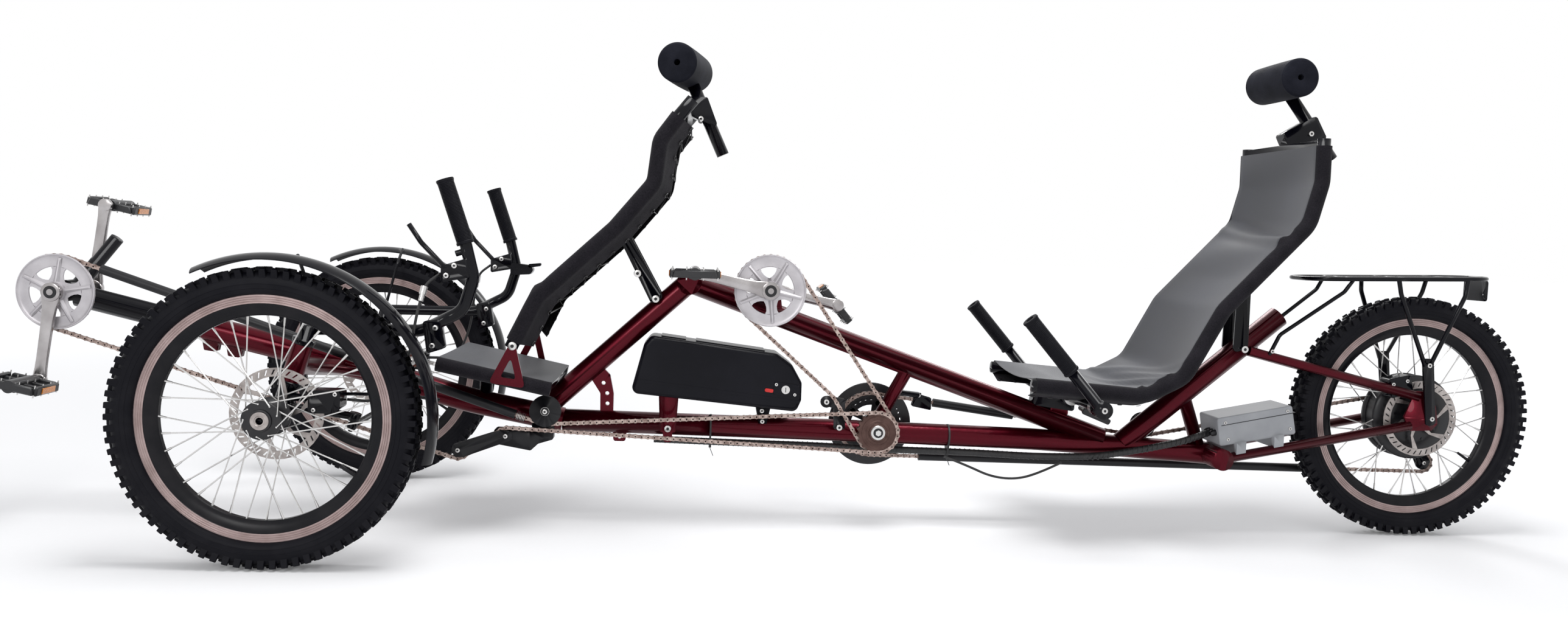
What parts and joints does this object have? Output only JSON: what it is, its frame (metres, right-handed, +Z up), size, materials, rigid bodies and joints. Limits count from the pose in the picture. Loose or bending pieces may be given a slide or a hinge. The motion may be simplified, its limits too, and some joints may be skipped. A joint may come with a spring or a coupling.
{
  "type": "tandem recumbent trike",
  "caption": "Recumbent trike for two riders in line, with steered front wheels, a driven rear wheel, sling seats, linked chains and an electric assist battery.",
  "frame": {"origin": "on the ground under the middle of the trike, front pedals to rear tyre", "axes": "+X to the rear, +Y to the riders' right, +Z up"},
  "size_m": [3.0816, 0.832, 0.992],
  "materials": {
    "frame_red": "gloss metallic",
    "black_paint": "satin",
    "seat_fabric": "woven, matt",
    "foam": "matt foam",
    "black_plastic": "semi-gloss",
    "grey_housing": "satin",
    "chain_steel": "worn",
    "crank_silver": "bright polished",
    "black_steel": "satin",
    "cable_jacket": "satin",
    "tyre_rubber": "matt",
    "rim_alloy": "machined ring on a black rim",
    "spoke_steel": "bright",
    "hub_black": "anodised black with a steel brake disc"
  },
  "bodies": {
    "frame": {"boom": "black_paint", "main_tube": "frame_red", "cross_beam": "frame_red", "front_riser": "frame_red", "coupling_plate": "frame_red", "upper_tube": "frame_red", "lower_tube": "frame_red", "rear_riser": "frame_red", "upper_stays": "frame_red", "lower_stays": "frame_red", "captain_seat_frame": "black_paint", "captain_seat_base": "seat_fabric", "captain_sling": "seat_fabric", "stoker_seat_frame": "black_paint", "stoker_sling": "seat_fabric", "headrests": "foam", "stoker_bars": "black_paint", "stoker_grips": "foam", "battery": "black_plastic", "controller_box": "grey_housing", "rack": "black_paint", "chains": "chain_steel", "chain_tubes": "black_plastic", "chain_guides": "black_plastic", "derailleurs": "black_paint", "rear_caliper": "black_paint", "frame_cables": "cable_jacket", "slack_cable": "cable_jacket"},
    "left_knuckle": {"left_knuckle": "black_paint", "left_handlebar": "black_paint", "left_grip": "foam", "left_mudguard": "black_plastic", "left_brake_cable": "cable_jacket"},
    "right_knuckle": {"right_knuckle": "black_paint", "right_handlebar": "black_paint", "right_grip": "foam", "right_mudguard": "black_plastic", "right_brake_cable": "cable_jacket"},
    "tie_rod": {"tie_rod": "black_paint"},
    "wheel_front_left": {"front_left_tyre": "tyre_rubber", "front_left_rim": "rim_alloy", "front_left_spokes": "spoke_steel", "front_left_hub": "hub_black"},
    "wheel_front_right": {"front_right_tyre": "tyre_rubber", "front_right_rim": "rim_alloy", "front_right_spokes": "spoke_steel", "front_right_hub": "hub_black"},
    "wheel_rear": {"rear_tyre": "tyre_rubber", "rear_rim": "rim_alloy", "rear_spokes": "spoke_steel", "rear_hub": "hub_black"},
    "captain_crank": {"captain_crankset": "crank_silver"},
    "stoker_crank": {"stoker_crankset": "crank_silver"},
    "captain_pedal_left": {"captain_pedal_left": "black_plastic"},
    "captain_pedal_right": {"captain_pedal_right": "black_plastic"},
    "stoker_pedal_left": {"stoker_pedal_left": "black_plastic"},
    "stoker_pedal_right": {"stoker_pedal_right": "black_plastic"},
    "jackshaft": {"jackshaft": "black_steel"}
  },
  "joints": [
    {"name": "steer_left", "type": "hinge", "parent": "frame", "child": "left_knuckle", "pos_m": [-0.947, -0.27, 0.34], "axis": [0.2924, 0, 0.9563], "range_deg": [-25, 25]},
    {"name": "steer_right", "type": "hinge", "parent": "frame", "child": "right_knuckle", "pos_m": [-0.947, 0.27, 0.34], "axis": [0.2924, 0, 0.9563], "range_deg": [-25, 25]},
    {"name": "tie_rod_pin", "type": "hinge", "parent": "left_knuckle", "child": "tie_rod", "pos_m": [-0.851, -0.27, 0.228], "axis": [0.2924, 0, 0.9563], "range_deg": [-25, 25]},
    {"name": "spin_front_left", "type": "hinge", "parent": "left_knuckle", "child": "wheel_front_left", "pos_m": [-0.961, -0.38, 0.257], "axis": [0, 1, 0], "continuous": true},
    {"name": "spin_front_right", "type": "hinge", "parent": "right_knuckle", "child": "wheel_front_right", "pos_m": [-0.961, 0.38, 0.257], "axis": [0, 1, 0], "continuous": true},
    {"name": "spin_rear", "type": "hinge", "parent": "frame", "child": "wheel_rear", "pos_m": [1.289, 0, 0.257], "axis": [0, 1, 0], "continuous": true},
    {"name": "captain_cranking", "type": "hinge", "parent": "frame", "child": "captain_crank", "pos_m": [-1.461, 0, 0.439], "axis": [0, 1, 0], "continuous": true},
    {"name": "stoker_cranking", "type": "hinge", "parent": "frame", "child": "stoker_crank", "pos_m": [-0.096, 0, 0.484], "axis": [0, 1, 0], "continuous": true},
    {"name": "jackshaft_spin", "type": "hinge", "parent": "frame", "child": "jackshaft", "pos_m": [0.132, 0, 0.203], "axis": [0, 1, 0], "continuous": true},
    {"name": "captain_pedal_left_spin", "type": "hinge", "parent": "captain_crank", "child": "captain_pedal_left", "pos_m": [-1.48466, -0.139, 0.27065], "axis": [0, 1, 0], "continuous": true},
    {"name": "captain_pedal_right_spin", "type": "hinge", "parent": "captain_crank", "child": "captain_pedal_right", "pos_m": [-1.43734, 0.139, 0.60735], "axis": [0, 1, 0], "continuous": true},
    {"name": "stoker_pedal_left_spin", "type": "hinge", "parent": "stoker_crank", "child": "stoker_pedal_left", "pos_m": [-0.24761, -0.127, 0.51623], "axis": [0, 1, 0], "continuous": true},
    {"name": "stoker_pedal_right_spin", "type": "hinge", "parent": "stoker_crank", "child": "stoker_pedal_right", "pos_m": [0.05561, 0.127, 0.45177], "axis": [0, 1, 0], "continuous": true}
  ],
  "couplings": [
    {"joint": "steer_right", "follows": "steer_left", "ratio": 1},
    {"joint": "tie_rod_pin", "follows": "steer_left", "ratio": -1}
  ]
}
